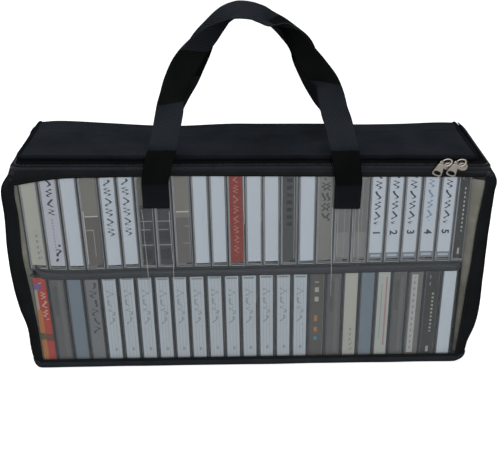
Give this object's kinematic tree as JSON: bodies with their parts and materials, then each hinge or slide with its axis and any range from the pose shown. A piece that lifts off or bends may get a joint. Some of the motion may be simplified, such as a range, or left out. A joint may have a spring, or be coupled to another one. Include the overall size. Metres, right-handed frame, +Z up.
{
  "type": "zip-top cassette storage bag",
  "caption": "Soft zip-top carry bag with clear windows, webbing handles and a divider shelf, holding two rows of cassettes in clear cases.",
  "frame": {"origin": "on the floor, under the middle of the bag", "axes": "+X along the bag to the right seen from the front window, +Y towards the back, +Z up"},
  "size_m": [0.465, 0.1228, 0.3582],
  "materials": {
    "black_cloth": "coated nylon weave, slight sheen",
    "black_binding": "ribbed binding tape",
    "clear_vinyl": "clear flexible sheet, glossy, slightly wavy",
    "black_webbing": "cross-ribbed woven webbing",
    "zip_tape": "fine woven tape",
    "zip_coil": "nylon coil, satin",
    "nickel": "bright nickel plate, fine scratches",
    "black_board": "plain sheet",
    "grey_board": "plain board, hidden in its sleeve",
    "clear_case": "clear polystyrene",
    "card_paper": "plain card",
    "tape_shell": "smoke-tinted shell"
  },
  "bodies": {
    "bag": {"base_panel": "black_cloth", "base_board": "black_board", "side_panel_left": "black_cloth", "side_panel_right": "black_cloth", "window_front": "clear_vinyl", "window_back": "clear_vinyl", "window_tape_front": "black_binding", "window_tape_back": "black_binding", "handle_patches_front": "black_webbing", "handle_patches_back": "black_webbing", "zip_tape_lower": "zip_tape", "zip_coil_lower": "zip_coil", "zip_end_tabs": "black_cloth", "hinge_strip": "black_cloth", "divider_sleeve": "black_cloth", "divider_board": "grey_board", "lower_case_trays": "clear_case", "lower_case_lids": "clear_case", "lower_cards": "card_paper", "lower_tapes": "tape_shell", "upper_case_trays": "clear_case", "upper_case_lids": "clear_case", "upper_cards": "card_paper", "upper_tapes": "tape_shell"},
    "lid": {"lid_panel": "black_cloth", "lid_piping": "black_binding", "zip_tape_upper": "zip_tape", "zip_coil_upper": "zip_coil"},
    "slider_left": {"slider_left": "nickel"},
    "slider_right": {"slider_right": "nickel"},
    "pull_left": {"pull_left": "nickel"},
    "pull_right": {"pull_right": "nickel"},
    "handle_front": {"handle_front": "black_webbing"},
    "handle_back": {"handle_back": "black_webbing"}
  },
  "joints": [
    {"name": "lid_open", "type": "hinge", "parent": "bag", "child": "lid", "pos_m": [0, 0.0502, 0.231], "axis": [-1, 0, 0], "range_deg": [0, 68]},
    {"name": "slider_left_travel", "type": "slide", "parent": "bag", "child": "slider_left", "axis": [-1, 0, 0], "range_m": [0, 0.386]},
    {"name": "slider_right_travel", "type": "slide", "parent": "bag", "child": "slider_right", "axis": [1, 0, 0], "range_m": [0, 0.01]},
    {"name": "pull_left_swing", "type": "hinge", "parent": "slider_left", "child": "pull_left", "pos_m": [0.186, -0.0554, 0.22463], "axis": [-0.7071, 0.0621, 0.7044], "range_deg": [0, 110]},
    {"name": "pull_right_swing", "type": "hinge", "parent": "slider_right", "child": "pull_right", "pos_m": [0.199, -0.0554, 0.22463], "axis": [-0.7071, 0.0621, 0.7044], "range_deg": [0, 110]},
    {"name": "handle_front_swing", "type": "hinge", "parent": "bag", "child": "handle_front", "pos_m": [0.004, -0.0605, 0.2088], "axis": [1, 0, 0], "range_deg": [0, 185]},
    {"name": "handle_back_swing", "type": "hinge", "parent": "bag", "child": "handle_back", "pos_m": [0.004, 0.0605, 0.2088], "axis": [-1, 0, 0], "range_deg": [0, 185]}
  ]
}
